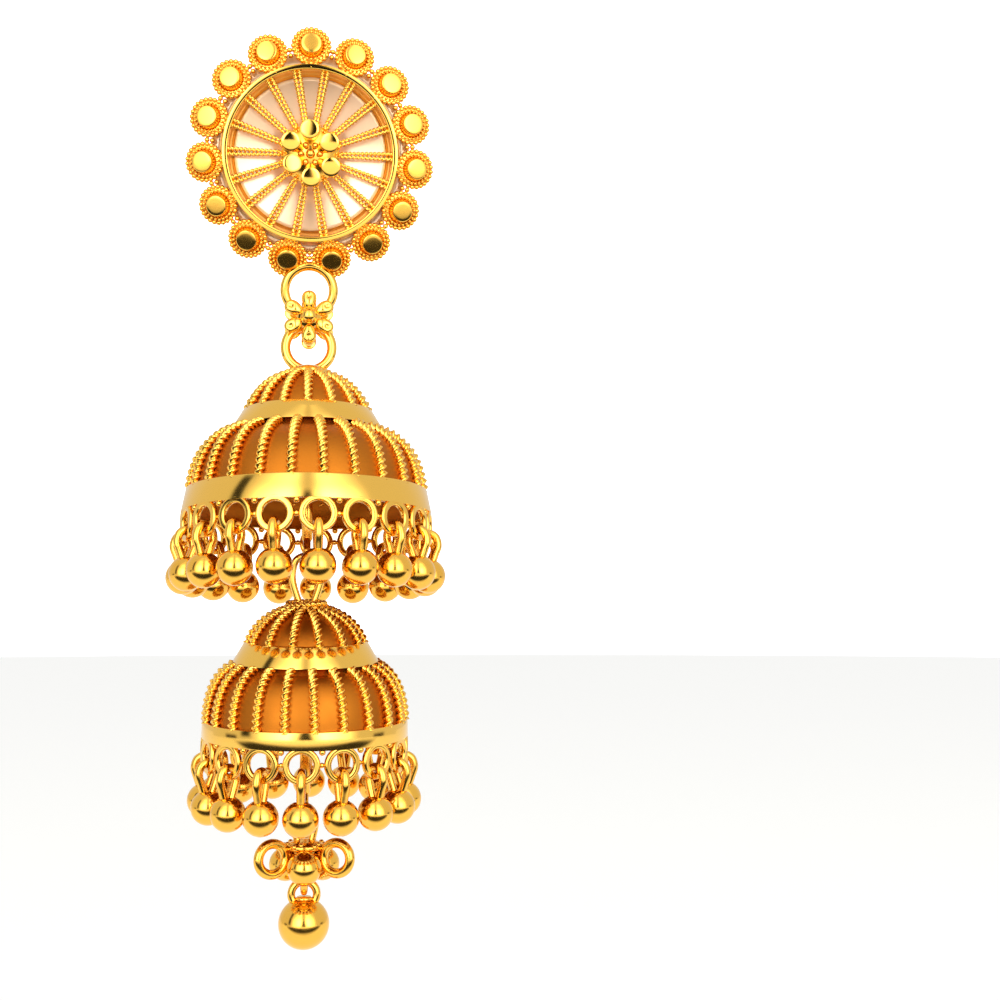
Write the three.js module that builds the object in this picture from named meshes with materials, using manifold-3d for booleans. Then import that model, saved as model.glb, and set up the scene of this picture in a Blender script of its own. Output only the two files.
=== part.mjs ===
// A jhumka earring in millimetres, +Z up, its front facing -Y.
// The origin is on the back of the stud, on the axis of its ear post.
import * as THREE from "three";
import { mergeVertices } from "three/addons/utils/BufferGeometryUtils.js";
import Module from "manifold-3d";

// Stud: a flared drum with a closed back
const drumDepth = 2.4;
const drumBackRadius = 5.9;
const drumFrontRadius = 6.6;
const drumWall = 0.45;
const backThickness = 0.5;
const spokeCount = 18;
const spokeOuterWidth = 0.7;
const spokeInnerWidth = 0.45;
const spokeThickness = 0.5;
const spokeInset = 0.12;
const hubRadius = 2.2;
const flatStudCount = 6;
const flatStudCircle = 1.73;
const flatStudRadius = 0.71;
const flatStudHeight = 0.75;
const centreBeadRadius = 0.4;

// Rosettes round the drum
const rosetteCount = 15;
const rosetteSink = 0.16;
const rosetteRadius = 1.6;
const rosetteTilt = 17;
const rosetteSeat = 1.1;
const rosetteHeight = 1.15;
const rosetteFaceRadius = 0.73;
const rosetteRise = 0.45;

// Ear post and its screw nut
const postRadius = 0.45;
const postLength = 10;
const postGap = 0.3;
const nutRadius = 2.4;
const nutThickness = 2.2;
const nutSeat = 4.5;

// Links between stud and upper bell
const hangDepth = 1.3;
const linkWire = 0.36;
const studRingRadius = 1.85;
const studRingSink = 0.35;
const bellRingRadius = 1.77;
const wireGap = 0.12;
const seatGap = 0.28;
const sideGap = 0.36;
const linkArc = 0.95;
const linkSide = 0.55;
const linkWidth = 0.9;
const flowerPetalCount = 6;
const flowerSteps = 4;
const flowerPetalCircle = 1.5;
const flowerPetalRadius = 0.55;
const flowerThickness = 0.6;
const flowerBallRadius = 0.6;

// Both bells
const bandWall = 0.5;
const ribThickness = 0.42;
const skinInset = 0.22;
const ringSink = 0.25;
const rimWire = 0.22;
const capThickness = 0.4;
const stemRadius = 0.4;
const hookWire = 0.28;
const hookGap = 0.2;
const hookFoot = 0.45;

// Upper bell
const upperCapDrop = 1.93;
const upperCapRadius = 1.6;
const upperCrownHeight = 3.1;
const upperShoulderTop = 4.9;
const upperShoulderBottom = 5.8;
const upperShoulderHeight = 1.5;
const upperBellyHeight = 4.6;
const upperRimTop = 9.04;
const upperRimBottom = 9.4;
const upperRimHeight = 1.8;
const upperCrownRibs = 16;
const upperBellyRibs = 24;
const upperCrownRibWidth = 0.48;
const upperBellyRibWidth = 0.62;
const upperBellyTurn = 7.5;
const upperDropCount = 19;
const upperDropTurn = -9.5;
const upperRingRadius = 1.12;
const upperEyeDrop = 13.92;
const eyeRadius = 0.95;

// Lower bell
const lowerHookWidth = 2.05;
const lowerHookHeight = 4.02;
const lowerCapRadius = 1.45;
const lowerCrownHeight = 2.7;
const lowerShoulderTop = 4.6;
const lowerShoulderBottom = 5.5;
const lowerShoulderHeight = 1.54;
const lowerBellyHeight = 4.22;
const lowerRimTop = 7.68;
const lowerRimBottom = 7.72;
const lowerRimHeight = 1.3;
const lowerCrownRibs = 14;
const lowerBellyRibs = 22;
const lowerCrownRibWidth = 0.5;
const lowerBellyRibWidth = 0.66;
const lowerBellyTurn = -3.3;
const lowerDropCount = 16;
const lowerDropTurn = -2;
const lowerRingRadius = 1.1;
const lowerEyeDrop = 15.19;

// Drops on the rims
const dropBallRadius = 1.3;
const bailWire = 0.26;
const bailHalfWidth = 0.73;
const bailGap = 0.16;
const bailSink = 0.4;
const bailFoot = 0.32;
const upperBailLength = 2.16;
const lowerBailLength = 2.28;

// Cluster and end ball below the lower bell
const clusterStemLength = 2.5;
const clusterHookWidth = 1.5;
const clusterHubRadius = 1.55;
const clusterHubThickness = 0.5;
const clusterLoopCount = 3;
const clusterLoopRadius = 1.13;
const clusterLoopWire = 0.37;
const clusterLoopDrop = 0.95;
const clusterLoopCircle = 2.75;
const clusterBallRadius = 1.27;
const clusterBallCircle = 1.6;
const clusterBallDrop = 1.65;
const clusterEyeDrop = 2.65;
const endBallRadius = 1.92;
const endRingRadius = 0.95;
const endRingSink = 0.7;

// How far the stud tips forward, and the bells hang out of plumb, front to back, in degrees
const studTip = 13;
const upperLean = -4.2;
const lowerLean = 4.2;

// Sides of round shapes
const wireSides = 5;
const rimWireSides = 4;
const roundSides = 10;
const ringSides = 12;
const stemSides = 6;
const drumSides = 24;
const ribSteps = 2;
const mergeDistance = 1e-4;

const degree = Math.PI / 180;
const quarterTurn = Math.PI / 2;
const goldColour = 0xe8b23c;

const wasm = await Module();
wasm.setup();

// A closed geometry as a solid, with its shared corners merged and its empty faces dropped.
function solidOf(geometry) {
  const bare = new THREE.BufferGeometry();
  bare.setAttribute("position", geometry.getAttribute("position"));
  bare.setIndex(geometry.getIndex());
  const merged = mergeVertices(bare, mergeDistance);
  const corners = merged.getIndex().array;
  const faces = [];
  for (let i = 0; i < corners.length; i += 3) {
    const [a, b, c] = corners.slice(i, i + 3);
    if (a !== b && b !== c && c !== a) faces.push(a, b, c);
  }
  return new wasm.Manifold(
    new wasm.Mesh({
      numProp: 3,
      vertProperties: merged.getAttribute("position").array,
      triVerts: new Uint32Array(faces),
    }),
  );
}

function fuse(geometries) {
  return geometries.map(solidOf).reduce((whole, piece) => whole.add(piece));
}

function geometryOf(solid) {
  const mesh = solid.getMesh();
  const geometry = new THREE.BufferGeometry();
  geometry.setAttribute("position", new THREE.BufferAttribute(mesh.vertProperties, 3));
  geometry.setIndex(new THREE.BufferAttribute(mesh.triVerts, 1));
  geometry.computeVertexNormals();
  return geometry;
}

function goldPiece(name, solid, roughness = 0.2) {
  const finish = new THREE.MeshStandardMaterial({ color: goldColour, roughness, metalness: 1 });
  const piece = new THREE.Mesh(geometryOf(solid), finish);
  piece.name = name;
  return piece;
}

// Runs make(angle, index) for each of count equal steps round a full turn.
function around(count, make, start = 0) {
  return Array.from({ length: count }, (_, i) => make(start + (i * 2 * Math.PI) / count, i));
}

// A profile of [radius, height] turned about the Z axis, closed on the axis or on itself.
function turned(profile, sides) {
  const points = profile.map(([radius, height]) => new THREE.Vector2(radius, height));
  return new THREE.LatheGeometry(points, sides).rotateX(quarterTurn);
}

// The same, turned about the front-to-back axis, with heights running to the front.
function turnedToFront(profile, sides) {
  return turned(profile, sides).rotateX(quarterTurn);
}

// A wire ring in the plane that faces the front.
function frontRing(radius, wire, sides) {
  return new THREE.TorusGeometry(radius, wire, wireSides, sides).rotateX(quarterTurn);
}

// A wire ring in the plane that faces the side.
function sideRing(radius, wire, sides) {
  return new THREE.TorusGeometry(radius, wire, wireSides, sides).rotateY(quarterTurn);
}

function ball(radius, sides = roundSides) {
  return new THREE.SphereGeometry(radius, sides, Math.floor(0.45 * sides));
}

// A path with one step for each stretch between its points, so that no corner is cut.
class CornerPath extends THREE.Curve {
  constructor(points) {
    super();
    this.points = points;
  }

  getPoint(share, target = new THREE.Vector3()) {
    const place = share * (this.points.length - 1);
    const index = Math.min(Math.floor(place), this.points.length - 2);
    return target.lerpVectors(this.points[index], this.points[index + 1], place - index);
  }

  getUtoTmapping(share) {
    return share;
  }
}

// A round wire bent through points of X and Z, each given once for both sides from the foot up.
function bentWire(side, wire) {
  const left = side.map(([x, z]) => new THREE.Vector3(-x, 0, z));
  const right = side.map(([x, z]) => new THREE.Vector3(x, 0, z)).reverse();
  const points = side.at(-1)[0] === 0 ? [...left, ...right.slice(1)] : [...left, ...right];
  const corners = around(
    wireSides,
    (angle) => new THREE.Vector2(wire * Math.cos(angle), wire * Math.sin(angle)),
  );
  return new THREE.ExtrudeGeometry(new THREE.Shape(corners), {
    extrudePath: new CornerPath(points),
    steps: points.length - 1,
  });
}

// The drum: its back plate, its flared wall and the open front.
function drum() {
  const profile = [
    [0, 0],
    [drumBackRadius, 0],
    [drumFrontRadius, drumDepth],
    [drumFrontRadius - drumWall, drumDepth],
    [drumBackRadius - drumWall, backThickness],
    [0, backThickness],
  ];
  return turnedToFront(profile, drumSides);
}

// A flat spoke that widens from the hub to the drum's wall.
function spoke(angle) {
  const inner = hubRadius - spokeInset;
  const outer = drumFrontRadius - drumWall / 2;
  const outline = new THREE.Shape([
    new THREE.Vector2(inner, -spokeInnerWidth / 2),
    new THREE.Vector2(outer, -spokeOuterWidth / 2),
    new THREE.Vector2(outer, spokeOuterWidth / 2),
    new THREE.Vector2(inner, spokeInnerWidth / 2),
  ]);
  return new THREE.ExtrudeGeometry(outline, { depth: spokeThickness, bevelEnabled: false })
    .rotateX(quarterTurn)
    .translate(0, spokeThickness + spokeInset - drumDepth, 0)
    .rotateY(-angle);
}

function hub() {
  const front = drumDepth + flatStudHeight;
  const flatStuds = around(
    flatStudCount,
    (angle) =>
      turnedToFront(
        [
          [0, drumDepth - spokeInset / 2],
          [flatStudRadius, drumDepth - spokeInset / 2],
          [flatStudRadius, front],
          [0, front],
        ],
        roundSides,
      )
        .translate(flatStudCircle, 0, 0)
        .rotateY(-angle),
    30 * degree,
  );
  const plateBack = drumDepth - spokeThickness - 2 * spokeInset;
  const plate = turnedToFront(
    [
      [0, plateBack],
      [hubRadius, plateBack],
      [hubRadius, drumDepth],
      [0, drumDepth],
    ],
    spokeCount,
  );
  return [plate, ...flatStuds, ball(centreBeadRadius).translate(0, -drumDepth, 0)];
}

// A cup with a beaded saucer and a flat face, leaning outwards from the stud's axis.
function rosette(angle) {
  return turnedToFront(
    [
      [0, 0],
      [rosetteRadius, rosetteRise],
      [rosetteFaceRadius, rosetteHeight],
      [0, rosetteHeight],
    ],
    roundSides,
  )
    .rotateY(quarterTurn)
    .rotateZ(rosetteTilt * degree)
    .translate(rosetteCircle, -rosetteSeat, 0)
    .rotateY(-angle);
}

// The inner edge of each tilted saucer is let into the drum's sloping wall.
const saucerLean = rosetteTilt * degree;
const saucerEdgeDepth =
  rosetteSeat + rosetteRise * Math.cos(saucerLean) + rosetteRadius * Math.sin(saucerLean);
const saucerInnerReach = rosetteRadius * Math.cos(saucerLean) - rosetteRise * Math.sin(saucerLean);
const drumSlope = (drumFrontRadius - drumBackRadius) / drumDepth;
const rosetteCircle =
  drumBackRadius + drumSlope * saucerEdgeDepth + saucerInnerReach - rosetteSink;

// The two lowest rosettes stand half a step each side of the bottom.
const rosetteStart = -quarterTurn + Math.PI / rosetteCount;
const lowRosetteX = rosetteCircle * Math.sin(Math.PI / rosetteCount);
const lowRosetteZ = -rosetteCircle * Math.cos(Math.PI / rosetteCount);
const ringToRosette = rosetteRadius + studRingRadius - studRingSink;
const studRingZ = lowRosetteZ - Math.sqrt(ringToRosette ** 2 - lowRosetteX ** 2);

function studSolid() {
  const rosettes = around(rosetteCount, rosette, rosetteStart);
  const ring = frontRing(studRingRadius, linkWire, ringSides).translate(0, -hangDepth, studRingZ);
  const spokes = around(spokeCount, spoke);
  return fuse([drum(), ...spokes, ...hub(), ...rosettes, ring]);
}

function postSolid() {
  const nutEnd = nutSeat + nutThickness;
  const profile = [
    [0, postGap],
    [postRadius, postGap],
    [postRadius, nutSeat],
    [nutRadius, nutSeat],
    [nutRadius, nutEnd],
    [postRadius, nutEnd],
    [postRadius, postLength],
    [0, postLength],
  ];
  return solidOf(turned(profile, roundSides).rotateX(-quarterTurn));
}

// Heights of the pins down the earring, in its plumb state
const studPinZ = studRingZ - studRingRadius;
const bellPinZ = studPinZ - 2 * linkWire - wireGap;
const linkTop = studPinZ + linkWire + seatGap + linkArc;
const linkBottom = bellPinZ - linkWire - seatGap - linkArc;
const bellHingeZ = linkBottom + linkArc / 2;
const bellRingZ = bellPinZ - bellRingRadius;
const upperCapZ = bellRingZ - upperCapDrop;
const eyeZ = upperCapZ - upperEyeDrop;
const eyePinZ = eyeZ - eyeRadius;
const lowerPinZ = eyePinZ + 2 * hookWire + hookGap;
const lowerCapZ = lowerPinZ + hookWire - lowerHookHeight;
const lowerEyeZ = lowerCapZ - lowerEyeDrop;
const lowerEyePinZ = lowerEyeZ - eyeRadius;
const clusterPinZ = lowerEyePinZ + 2 * hookWire + hookGap;
const clusterHubZ = clusterPinZ - clusterStemLength;
const clusterEyeZ = clusterHubZ - clusterEyeDrop;
const endPinZ = clusterEyeZ - eyeRadius + 2 * hookWire + hookGap;
const endBallZ = endPinZ - 2 * endRingRadius + endRingSink - endBallRadius;

// A band link round both wires, with a flower on its front and back.
function linkSolid() {
  const middle = (linkTop + linkBottom) / 2;
  const halfDepth = linkWire + sideGap;
  const halfHeight = (linkTop - linkBottom) / 2;
  const outline = new THREE.Shape();
  outline.absellipse(0, 0, halfDepth + linkSide, halfHeight, 0, 2 * Math.PI);
  const opening = new THREE.Path();
  opening.absellipse(0, 0, halfDepth, halfHeight - linkArc, 0, 2 * Math.PI);
  outline.holes.push(opening);
  const band = new THREE.ExtrudeGeometry(outline, {
    depth: linkWidth,
    bevelEnabled: false,
    curveSegments: ringSides / 2,
  })
    .translate(0, 0, -linkWidth / 2)
    .rotateY(quarterTurn)
    .rotateX(quarterTurn)
    .translate(0, -hangDepth, middle);
  const flowers = [-1, 1].flatMap((side) => flower(side, halfDepth + linkSide / 2, middle));
  return fuse([band, ...flowers]);
}

// A flat flower whose outline swells at each petal, with a ball at its centre.
function flower(side, depth, middle) {
  const corners = around(flowerSteps * flowerPetalCount, (angle) => {
    const reach = flowerPetalCircle + flowerPetalRadius * Math.cos(flowerPetalCount * angle);
    return new THREE.Vector2(reach * Math.sin(angle), reach * Math.cos(angle));
  });
  const petals = new THREE.ExtrudeGeometry(new THREE.Shape(corners), {
    depth: flowerThickness,
    bevelEnabled: false,
  })
    .translate(0, 0, -flowerThickness / 2)
    .rotateX(quarterTurn);
  const centre = ball(flowerBallRadius).translate(0, (side * flowerThickness) / 2, 0);
  return [petals, centre].map((piece) => piece.translate(0, side * depth - hangDepth, middle));
}

// The angles of a row's column edges: each rib takes one column, and its gap shares the rest.
function columnEdges(columns, ribCount, halfAngle, turn) {
  const edges = [];
  for (let rib = 0; rib < ribCount; rib++) {
    const centre = turn + (rib * 2 * Math.PI) / ribCount;
    const nextCentre = turn + ((rib + 1) * 2 * Math.PI) / ribCount;
    const here = Math.round((rib * columns) / ribCount);
    const next = Math.round(((rib + 1) * columns) / ribCount);
    edges.push(centre - halfAngle);
    const gapColumns = next - here - 1;
    for (let i = 0; i < gapColumns; i++) {
      const share = i / gapColumns;
      edges.push(centre + halfAngle + share * (nextCentre - centre - 2 * halfAngle));
    }
  }
  return edges;
}

// Which columns hold a rib.
function ribColumns(columns, ribCount) {
  const held = new Array(columns).fill(false);
  for (let rib = 0; rib < ribCount; rib++) held[Math.round((rib * columns) / ribCount)] = true;
  return held;
}

// A bell's wall under a closed cap, as one body. A row has its outer, skin and inner [radius,
// height] and the angles of its column edges. A span lies under each row but the last, and says
// which columns stand out to the outer face there. The others stop at the skin behind the ribs.
function ribbedWall(rows, spans) {
  const columns = rows[0].edges.length;
  const points = [];
  const faces = [];
  const place = ([radius, z], angle) =>
    points.push(radius * Math.cos(angle), radius * Math.sin(angle), z);
  const levels = ["outer", "skin", "inner"];
  for (const level of levels) {
    rows.forEach((row) => row.edges.forEach((angle) => place(row[level], angle)));
  }
  place([0, rows[0].outer[1]], 0);
  place([0, rows[0].inner[1]], 0);
  const corner = (level, row, column) =>
    (levels.indexOf(level) * rows.length + row) * columns + (column % columns);
  const capTop = levels.length * rows.length * columns;
  const wall = (...corners) => {
    const [a, b, c, d] = corners.map(([level, row, column]) => corner(level, row, column));
    faces.push(a, b, c, a, c, d);
  };
  const last = rows.length - 1;
  const whole = new Array(columns).fill(true);
  for (let k = 0; k < columns; k++) {
    const next = k + 1;
    faces.push(capTop, corner("outer", 0, k), corner("outer", 0, next));
    faces.push(capTop + 1, corner("inner", 0, next), corner("inner", 0, k));
    wall(["outer", last, next], ["outer", last, k], ["inner", last, k], ["inner", last, next]);
    spans.forEach((raised, row) => {
      const under = row + 1;
      const above = row === 0 ? whole : spans[row - 1];
      const level = raised[k] ? "outer" : "skin";
      wall([level, row, k], [level, under, k], [level, under, next], [level, row, next]);
      wall(["inner", row, k], ["inner", row, next], ["inner", under, next], ["inner", under, k]);
      if (above[k] && !raised[k]) {
        wall(["outer", row, next], ["outer", row, k], ["skin", row, k], ["skin", row, next]);
      }
      if (!above[k] && raised[k]) {
        wall(["outer", row, k], ["outer", row, next], ["skin", row, next], ["skin", row, k]);
      }
      if (raised[k] && !raised[(k + columns - 1) % columns]) {
        wall(["outer", under, k], ["outer", row, k], ["skin", row, k], ["skin", under, k]);
      }
      if (raised[k] && !raised[next % columns]) {
        wall(["outer", row, next], ["outer", under, next], ["skin", under, next], ["skin", row, next]);
      }
    });
  }
  const geometry = new THREE.BufferGeometry();
  geometry.setAttribute("position", new THREE.Float32BufferAttribute(points, 3));
  geometry.setIndex(faces);
  return geometry;
}

// Points down a bulging stretch from one [radius, height] to another. The bulge is the place of
// the curve's control point, as shares of the stretch's reach and of its height.
function bulging([radius0, z0], [radius1, z1], bulge) {
  const control = new THREE.Vector2(radius0 + bulge[0] * (radius1 - radius0), z0 + bulge[1] * (z1 - z0));
  const curve = new THREE.QuadraticBezierCurve(
    new THREE.Vector2(radius0, z0),
    control,
    new THREE.Vector2(radius1, z1),
  );
  return Array.from({ length: ribSteps - 1 }, (_, i) => {
    const share = (i + 1) / ribSteps;
    const point = curve.getPoint(share);
    const along = curve.getTangent(share);
    const behind = (depth) => [point.x + along.y * depth, point.y - along.x * depth];
    return { outer: behind(0), skin: behind(skinInset), inner: behind(ribThickness) };
  });
}

// A bell's cap, crown ribs, shoulder band, belly ribs and rim band.
function bellWall(bell) {
  const columns = 2 * bell.bellyRibs;
  const shoulderZ = bell.capZ - bell.crownHeight;
  const bellyZ = shoulderZ - bell.shoulderHeight;
  const rimZ = bellyZ - bell.bellyHeight;
  const wallRow = (radius, z) => ({
    outer: [radius, z],
    skin: [radius - skinInset, z],
    inner: [radius - bandWall, z],
  });
  const crownRows = [
    {
      outer: [bell.capRadius, bell.capZ],
      skin: [bell.capRadius, bell.capZ - skinInset],
      inner: [bell.capRadius - capThickness / 2, bell.capZ - capThickness],
    },
    ...bulging([bell.capRadius, bell.capZ], [bell.shoulderTop, shoulderZ], bell.crownBulge),
    wallRow(bell.shoulderTop, shoulderZ),
  ];
  const bellyRows = [
    wallRow(bell.shoulderBottom, bellyZ),
    ...bulging([bell.shoulderBottom, bellyZ], [bell.rimTop, rimZ], bell.bellyBulge),
    wallRow(bell.rimTop, rimZ),
  ];
  bellyRows.push(wallRow(bell.rimBottom, rimZ - bell.rimHeight));
  const withEdges = (row, ribCount, width, turn) => ({
    ...row,
    edges: columnEdges(columns, ribCount, width / 2 / row.outer[0], turn),
  });
  const bellyTurn = bell.bellyTurn * degree;
  const rows = [
    ...crownRows.map((row) => withEdges(row, bell.crownRibs, bell.crownRibWidth, 0)),
    ...bellyRows.map((row) => withEdges(row, bell.bellyRibs, bell.bellyRibWidth, bellyTurn)),
  ];
  const whole = new Array(columns).fill(true);
  const spans = [
    ...new Array(ribSteps).fill(ribColumns(columns, bell.crownRibs)),
    whole,
    ...new Array(ribSteps).fill(ribColumns(columns, bell.bellyRibs)),
    whole,
  ];
  return ribbedWall(rows, spans);
}

// Everything of a bell from its cap down to its rim rings, about its own axis.
function bellBody(bell) {
  const rings = around(
    bell.dropCount,
    (angle) =>
      new THREE.TorusGeometry(bell.ringRadius, rimWire, rimWireSides, roundSides)
        .rotateY(quarterTurn)
        .translate(bell.rimBottom - bandWall / 2, 0, rimRingZ(bell))
        .rotateZ(angle),
    bell.dropTurn * degree,
  );
  const eye = sideRing(eyeRadius, hookWire, roundSides).translate(0, 0, bell.eyeZ);
  const stemEnd = bell.eyeZ + eyeRadius - hookWire / 2;
  const stemTop = bell.capZ - capThickness / 2;
  const stem = turned(
    [
      [0, stemEnd],
      [stemRadius, stemEnd],
      [stemRadius, stemTop],
      [0, stemTop],
    ],
    stemSides,
  );
  return [bellWall(bell), ...rings, stem, eye];
}

// The height of the centres of a bell's rim rings.
function rimRingZ(bell) {
  const heights = bell.crownHeight + bell.shoulderHeight + bell.bellyHeight + bell.rimHeight;
  return bell.capZ - heights - bell.ringRadius - rimWire + ringSink;
}

const upperBell = {
  capZ: upperCapZ,
  capRadius: upperCapRadius,
  crownHeight: upperCrownHeight,
  shoulderTop: upperShoulderTop,
  shoulderBottom: upperShoulderBottom,
  shoulderHeight: upperShoulderHeight,
  bellyHeight: upperBellyHeight,
  rimTop: upperRimTop,
  rimBottom: upperRimBottom,
  rimHeight: upperRimHeight,
  crownRibs: upperCrownRibs,
  bellyRibs: upperBellyRibs,
  bellyTurn: upperBellyTurn,
  crownRibWidth: upperCrownRibWidth,
  bellyRibWidth: upperBellyRibWidth,
  crownBulge: [0.74, 0.22],
  bellyBulge: [0.87, 0.17],
  dropCount: upperDropCount,
  dropTurn: upperDropTurn,
  ringRadius: upperRingRadius,
  bailLength: upperBailLength,
  eyeZ,
};

const lowerBell = {
  capZ: lowerCapZ,
  capRadius: lowerCapRadius,
  crownHeight: lowerCrownHeight,
  shoulderTop: lowerShoulderTop,
  shoulderBottom: lowerShoulderBottom,
  shoulderHeight: lowerShoulderHeight,
  bellyHeight: lowerBellyHeight,
  rimTop: lowerRimTop,
  rimBottom: lowerRimBottom,
  rimHeight: lowerRimHeight,
  crownRibs: lowerCrownRibs,
  bellyRibs: lowerBellyRibs,
  bellyTurn: lowerBellyTurn,
  crownRibWidth: lowerCrownRibWidth,
  bellyRibWidth: lowerBellyRibWidth,
  crownBulge: [0.75, 0.2],
  bellyBulge: [0.92, 0.2],
  dropCount: lowerDropCount,
  dropTurn: lowerDropTurn,
  ringRadius: lowerRingRadius,
  bailLength: lowerBailLength,
  eyeZ: lowerEyeZ,
};

function upperBellSolid() {
  const ring = frontRing(bellRingRadius, linkWire, ringSides).translate(0, 0, bellRingZ);
  return fuse([...bellBody(upperBell), ring]);
}

// The lower bell's ring is a tall hook whose two ends stand in the cap.
function lowerBellSolid() {
  const half = lowerHookWidth / 2;
  const foot = lowerCapZ - capThickness / 2;
  const shoulder = lowerPinZ - half;
  const hook = bentWire(
    [
      [hookFoot, foot],
      [half, shoulder - half],
      [half, shoulder],
      [0.7 * half, shoulder + 0.7 * half],
      [0, lowerPinZ],
    ],
    hookWire,
  );
  return fuse([...bellBody(lowerBell), hook]);
}

// A ball on a teardrop bail, about the lowest wire of the ring that carries it.
function dropSolid(bell) {
  const top = rimWire + bailGap + bailWire;
  const ballTop = top + bailWire - bell.bailLength;
  const bail = bentWire(
    [
      [bailFoot, ballTop - bailSink],
      [bailHalfWidth, -0.3 * bailHalfWidth],
      [0.52 * bailHalfWidth, top],
    ],
    bailWire,
  );
  const round = ball(dropBallRadius)
    .rotateX(quarterTurn)
    .translate(0, 0, ballTop - dropBallRadius);
  return fuse([round, bail]);
}

// The hub below the lower bell, with loops and balls by turns, and an eye for the end ball.
function clusterSolid() {
  const half = clusterHookWidth / 2;
  const shoulder = clusterPinZ - half;
  const hookTop = bentWire(
    [
      [hookFoot, clusterHubZ - clusterHubThickness / 2],
      [half, shoulder],
      [0.7 * half, shoulder + 0.7 * half],
      [0, clusterPinZ],
    ],
    hookWire,
  );
  const plate = turned(
    [
      [0, clusterHubZ - clusterHubThickness],
      [clusterHubRadius, clusterHubZ - clusterHubThickness],
      [clusterHubRadius, clusterHubZ],
      [0, clusterHubZ],
    ],
    ringSides,
  );
  const loops = around(
    clusterLoopCount,
    (angle) =>
      frontRing(clusterLoopRadius, clusterLoopWire, roundSides)
        .translate(clusterLoopCircle, 0, clusterHubZ - clusterLoopDrop)
        .rotateZ(angle),
    quarterTurn,
  );
  const balls = around(
    clusterLoopCount,
    (angle) =>
      ball(clusterBallRadius)
        .translate(clusterBallCircle, 0, clusterHubZ - clusterBallDrop)
        .rotateZ(angle),
    -quarterTurn,
  );
  const core = turned(
    [
      [0, clusterEyeZ + eyeRadius - hookWire / 2],
      [stemRadius, clusterEyeZ + eyeRadius - hookWire / 2],
      [clusterHubRadius / 2, clusterHubZ - clusterHubThickness / 2],
      [0, clusterHubZ - clusterHubThickness / 2],
    ],
    roundSides,
  );
  const eye = sideRing(eyeRadius, hookWire, roundSides).translate(0, 0, clusterEyeZ);
  return fuse([plate, hookTop, core, eye, ...loops, ...balls]);
}

function endBallSolid() {
  const round = ball(endBallRadius, ringSides).rotateX(quarterTurn).translate(0, 0, endBallZ);
  const ring = frontRing(endRingRadius, hookWire, ringSides).translate(0, 0, endPinZ - endRingRadius);
  return fuse([round, ring]);
}

// A group turned about the cross axis at a height, whose children keep their plumb heights.
function leaning(parent, z, degrees) {
  const hinge = new THREE.Group();
  hinge.position.set(0, 0, z);
  hinge.rotation.x = degrees * degree;
  parent.add(hinge);
  const plumb = new THREE.Group();
  plumb.position.set(0, 0, -z);
  hinge.add(plumb);
  return plumb;
}

function addDrops(parent, prefix, bell) {
  const solid = dropSolid(bell);
  const pinZ = rimRingZ(bell) - bell.ringRadius;
  const radius = bell.rimBottom - bandWall / 2;
  const hang = (angle, i) => {
    const drop = goldPiece(`${prefix}_${String(i + 1).padStart(2, "0")}`, solid);
    drop.position.set(radius * Math.cos(angle), radius * Math.sin(angle), pinZ);
    drop.rotation.z = angle;
    parent.add(drop);
  };
  around(bell.dropCount, hang, bell.dropTurn * degree);
}

const studPart = new THREE.Group();
studPart.rotation.x = studTip * degree;
studPart.add(goldPiece("stud_disc", studSolid(), 0.25));
studPart.add(goldPiece("ear_post", postSolid(), 0.3));

const crossAxis = new THREE.Vector3(1, 0, 0);
const studPin = new THREE.Vector3(0, -hangDepth, studPinZ).applyAxisAngle(crossAxis, studTip * degree);
const hanging = new THREE.Group();
hanging.position.set(0, studPin.y, studPin.z - studPinZ);

const earring = new THREE.Group();
earring.add(studPart, hanging);

const upperPart = leaning(hanging, studPinZ, upperLean);
const flowerLink = goldPiece("flower_link", linkSolid());
flowerLink.position.set(0, hangDepth, 0);
upperPart.add(flowerLink);
upperPart.add(goldPiece("upper_bell", upperBellSolid(), 0.25));
addDrops(upperPart, "upper_drop", upperBell);

const lowerPart = leaning(upperPart, lowerPinZ, lowerLean - upperLean);
lowerPart.add(goldPiece("lower_bell", lowerBellSolid(), 0.25));
addDrops(lowerPart, "lower_drop", lowerBell);

const endPart = leaning(lowerPart, clusterPinZ, -lowerLean);
endPart.add(goldPiece("cluster", clusterSolid()));
endPart.add(goldPiece("end_ball", endBallSolid()));

export default earring;
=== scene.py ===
import math

import bpy
import numpy as np
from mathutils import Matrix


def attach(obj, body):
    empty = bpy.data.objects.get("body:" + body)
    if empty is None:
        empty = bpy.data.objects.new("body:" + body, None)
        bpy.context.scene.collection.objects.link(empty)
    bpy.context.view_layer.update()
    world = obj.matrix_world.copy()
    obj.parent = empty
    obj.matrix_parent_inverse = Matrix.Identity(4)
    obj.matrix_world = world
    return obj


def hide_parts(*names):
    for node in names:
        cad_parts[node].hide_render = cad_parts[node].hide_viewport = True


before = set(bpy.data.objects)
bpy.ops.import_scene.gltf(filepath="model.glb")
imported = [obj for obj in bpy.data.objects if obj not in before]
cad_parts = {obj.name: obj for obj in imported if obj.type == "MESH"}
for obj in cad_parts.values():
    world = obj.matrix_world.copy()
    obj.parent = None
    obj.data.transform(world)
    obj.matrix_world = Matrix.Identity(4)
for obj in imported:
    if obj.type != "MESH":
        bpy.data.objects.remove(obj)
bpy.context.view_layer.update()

millimetre = 0.001
fullTurn = 2 * math.pi
randomness = np.random.default_rng(7)

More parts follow.
